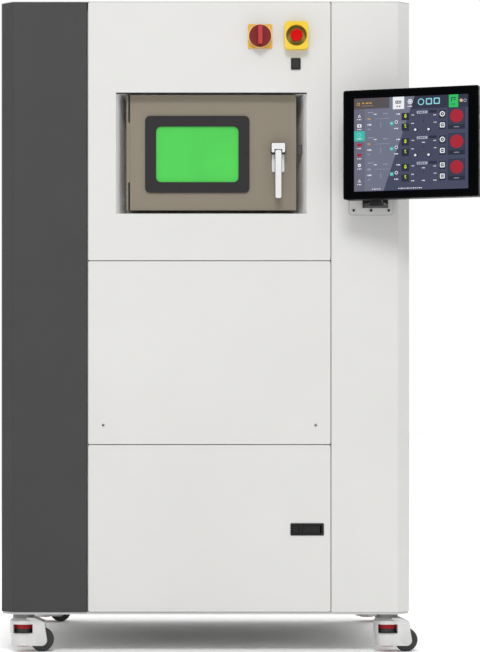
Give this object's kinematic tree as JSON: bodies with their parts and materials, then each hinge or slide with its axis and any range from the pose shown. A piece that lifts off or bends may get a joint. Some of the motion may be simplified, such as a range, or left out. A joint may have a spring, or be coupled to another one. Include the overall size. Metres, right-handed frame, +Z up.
{
  "type": "powder-bed laser printer",
  "caption": "Floor-standing cabinet that melts metal powder with a laser behind a thick hinged door, on levelling casters, with a swivelling touch screen.",
  "frame": {"origin": "middle of the overall footprint at floor level, under the wheels", "axes": "+X to the right seen from the front, +Y to the back, +Z up"},
  "size_m": [1.272, 1.1992, 1.75],
  "materials": {
    "white_panel": "fine textured powder coat",
    "dark_panel": "fine textured powder coat, matt",
    "frame_paint": "powder coat",
    "taupe_paint": "satin paint",
    "steel": "brushed",
    "zinc": "zinc plated",
    "black_metal": "matt powder coat",
    "chrome": "polished",
    "black_plastic": "moulded",
    "yellow_plastic": "moulded",
    "red_plastic": "moulded",
    "cast_aluminium": "die cast, painted",
    "laser_window": "green laser filter",
    "screen_glass": "glossy touch panel",
    "seal_rubber": "moulded",
    "wheel_nylon": "moulded nylon"
  },
  "bodies": {
    "cabinet": {"frame": "frame_paint", "caster_plates": "zinc", "left_column_cover": "dark_panel", "right_column_cover": "white_panel", "upper_front_panel": "white_panel", "recess_liner": "white_panel", "middle_front_panel": "white_panel", "panel_locks": "zinc", "left_side_panel": "white_panel", "right_side_panel": "white_panel", "rear_panel": "white_panel", "top_cover": "white_panel", "chamber_body": "steel", "door_seal": "seal_rubber", "build_cylinder": "steel", "lift_actuator": "black_metal", "powder_hopper": "steel", "scanner_head": "black_metal", "laser_source": "black_metal", "filter_unit": "steel", "control_plate": "zinc", "fan_frame": "black_plastic", "switch_plate": "yellow_plastic", "estop_guard": "yellow_plastic", "service_port": "black_plastic", "screen_wall_plate": "white_panel", "screen_bracket": "black_metal"},
    "chamber_door": {"chamber_door": "taupe_paint", "window_bezel": "black_metal", "window_glass": "laser_window", "handle_base": "chrome"},
    "door_handle": {"door_handle": "chrome"},
    "lower_door": {"lower_door": "white_panel", "latch_frame": "black_plastic"},
    "latch_paddle": {"latch_paddle": "black_plastic"},
    "latch_key": {"latch_key": "black_plastic"},
    "screen_swivel": {"screen_swivel": "black_metal"},
    "screen": {"screen_housing": "black_metal", "screen_glass": "screen_glass"},
    "switch_knob": {"switch_knob": "red_plastic"},
    "estop_button": {"estop_button": "red_plastic"},
    "recoater": {"recoater_carriage": "steel"},
    "build_platform": {"build_platform": "steel"},
    "fan_impeller": {"fan_impeller": "black_plastic"},
    "caster_fl": {"caster_fl_housing": "cast_aluminium"},
    "wheel_fl": {"caster_fl_wheel": "wheel_nylon"},
    "thumbwheel_fl": {"caster_fl_thumbwheel": "red_plastic"},
    "pad_fl": {"caster_fl_pad": "seal_rubber"},
    "caster_fr": {"caster_fr_housing": "cast_aluminium"},
    "wheel_fr": {"caster_fr_wheel": "wheel_nylon"},
    "thumbwheel_fr": {"caster_fr_thumbwheel": "red_plastic"},
    "pad_fr": {"caster_fr_pad": "seal_rubber"},
    "caster_bl": {"caster_bl_housing": "cast_aluminium"},
    "wheel_bl": {"caster_bl_wheel": "wheel_nylon"},
    "thumbwheel_bl": {"caster_bl_thumbwheel": "red_plastic"},
    "pad_bl": {"caster_bl_pad": "seal_rubber"},
    "caster_br": {"caster_br_housing": "cast_aluminium"},
    "wheel_br": {"caster_br_wheel": "wheel_nylon"},
    "thumbwheel_br": {"caster_br_thumbwheel": "red_plastic"},
    "pad_br": {"caster_br_pad": "seal_rubber"}
  },
  "joints": [
    {"name": "chamber_door_swing", "type": "hinge", "parent": "cabinet", "child": "chamber_door", "pos_m": [-0.29528, -0.31939, 1.3465], "axis": [0, 0, -1], "range_deg": [0, 100]},
    {"name": "door_handle_turn", "type": "hinge", "parent": "chamber_door", "child": "door_handle", "pos_m": [0.10972, -0.33339, 1.357], "axis": [0, 1, 0], "range_deg": [0, 90]},
    {"name": "lower_door_swing", "type": "hinge", "parent": "cabinet", "child": "lower_door", "pos_m": [-0.39553, -0.35489, 0.335], "axis": [0, 0, -1], "range_deg": [0, 110]},
    {"name": "latch_paddle_turn", "type": "hinge", "parent": "lower_door", "child": "latch_paddle", "pos_m": [0.21997, -0.35239, 0.3325], "axis": [0, 0, 1], "range_deg": [0, 35], "stiffness_Nm_per_rad": 0.05},
    {"name": "latch_key_press", "type": "slide", "parent": "lower_door", "child": "latch_key", "axis": [0, 1, 0], "range_m": [0, 0.003], "stiffness_N_per_m": 300},
    {"name": "screen_swivel_turn", "type": "hinge", "parent": "cabinet", "child": "screen_swivel", "pos_m": [0.36897, -0.42039, 1.3525], "axis": [0, 0, 1], "range_deg": [-5, 45]},
    {"name": "screen_tilt", "type": "hinge", "parent": "screen_swivel", "child": "screen", "pos_m": [0.3618, -0.43906, 1.3525], "axis": [0.9336, -0.3584, 0], "range_deg": [-12, 5]},
    {"name": "switch_turn", "type": "hinge", "parent": "cabinet", "child": "switch_knob", "pos_m": [0.06047, -0.36039, 1.6555], "axis": [0, 1, 0], "range_deg": [0, 90]},
    {"name": "estop_press", "type": "slide", "parent": "cabinet", "child": "estop_button", "axis": [0, 1, 0], "range_m": [0, 0.005], "stiffness_N_per_m": 800},
    {"name": "recoater_travel", "type": "slide", "parent": "cabinet", "child": "recoater", "axis": [1, 0, 0], "range_m": [0, 0.47]},
    {"name": "build_platform_travel", "type": "slide", "parent": "cabinet", "child": "build_platform", "axis": [0, 0, -1], "range_m": [0, 0.22]},
    {"name": "fan_spin", "type": "hinge", "parent": "cabinet", "child": "fan_impeller", "pos_m": [-0.37603, 0.56261, 1.56], "axis": [0, 1, 0], "continuous": true},
    {"name": "caster_fl_swivel", "type": "hinge", "parent": "cabinet", "child": "caster_fl", "pos_m": [-0.57803, -0.30239, 0.09], "axis": [0, 0, 1], "continuous": true},
    {"name": "wheel_fl_roll", "type": "hinge", "parent": "caster_fl", "child": "wheel_fl", "pos_m": [-0.52803, -0.30239, 0.0315], "axis": [0, 1, 0], "continuous": true},
    {"name": "thumbwheel_fl_turn", "type": "hinge", "parent": "caster_fl", "child": "thumbwheel_fl", "pos_m": [-0.57803, -0.30239, 0.06], "axis": [0, 0, 1], "range_deg": [0, 3240]},
    {"name": "pad_fl_travel", "type": "slide", "parent": "caster_fl", "child": "pad_fl", "axis": [0, 0, -1], "range_m": [0, 0.018]},
    {"name": "caster_fr_swivel", "type": "hinge", "parent": "cabinet", "child": "caster_fr", "pos_m": [0.40597, -0.30239, 0.09], "axis": [0, 0, 1], "continuous": true},
    {"name": "wheel_fr_roll", "type": "hinge", "parent": "caster_fr", "child": "wheel_fr", "pos_m": [0.45597, -0.30239, 0.0315], "axis": [0, 1, 0], "continuous": true},
    {"name": "thumbwheel_fr_turn", "type": "hinge", "parent": "caster_fr", "child": "thumbwheel_fr", "pos_m": [0.40597, -0.30239, 0.06], "axis": [0, 0, 1], "range_deg": [0, 3240]},
    {"name": "pad_fr_travel", "type": "slide", "parent": "caster_fr", "child": "pad_fr", "axis": [0, 0, -1], "range_m": [0, 0.018]},
    {"name": "caster_bl_swivel", "type": "hinge", "parent": "cabinet", "child": "caster_bl", "pos_m": [-0.57803, 0.53161, 0.09], "axis": [0, 0, 1], "continuous": true},
    {"name": "wheel_bl_roll", "type": "hinge", "parent": "caster_bl", "child": "wheel_bl", "pos_m": [-0.52803, 0.53161, 0.0315], "axis": [0, 1, 0], "continuous": true},
    {"name": "thumbwheel_bl_turn", "type": "hinge", "parent": "caster_bl", "child": "thumbwheel_bl", "pos_m": [-0.57803, 0.53161, 0.06], "axis": [0, 0, 1], "range_deg": [0, 3240]},
    {"name": "pad_bl_travel", "type": "slide", "parent": "caster_bl", "child": "pad_bl", "axis": [0, 0, -1], "range_m": [0, 0.018]},
    {"name": "caster_br_swivel", "type": "hinge", "parent": "cabinet", "child": "caster_br", "pos_m": [0.40597, 0.53161, 0.09], "axis": [0, 0, 1], "continuous": true},
    {"name": "wheel_br_roll", "type": "hinge", "parent": "caster_br", "child": "wheel_br", "pos_m": [0.45597, 0.53161, 0.0315], "axis": [0, 1, 0], "continuous": true},
    {"name": "thumbwheel_br_turn", "type": "hinge", "parent": "caster_br", "child": "thumbwheel_br", "pos_m": [0.40597, 0.53161, 0.06], "axis": [0, 0, 1], "range_deg": [0, 3240]},
    {"name": "pad_br_travel", "type": "slide", "parent": "caster_br", "child": "pad_br", "axis": [0, 0, -1], "range_m": [0, 0.018]}
  ],
  "couplings": [
    {"joint": "pad_fl_travel", "follows": "thumbwheel_fl_turn", "m_per_rad": 0.00031831},
    {"joint": "pad_fr_travel", "follows": "thumbwheel_fr_turn", "m_per_rad": 0.00031831},
    {"joint": "pad_bl_travel", "follows": "thumbwheel_bl_turn", "m_per_rad": 0.00031831},
    {"joint": "pad_br_travel", "follows": "thumbwheel_br_turn", "m_per_rad": 0.00031831}
  ]
}
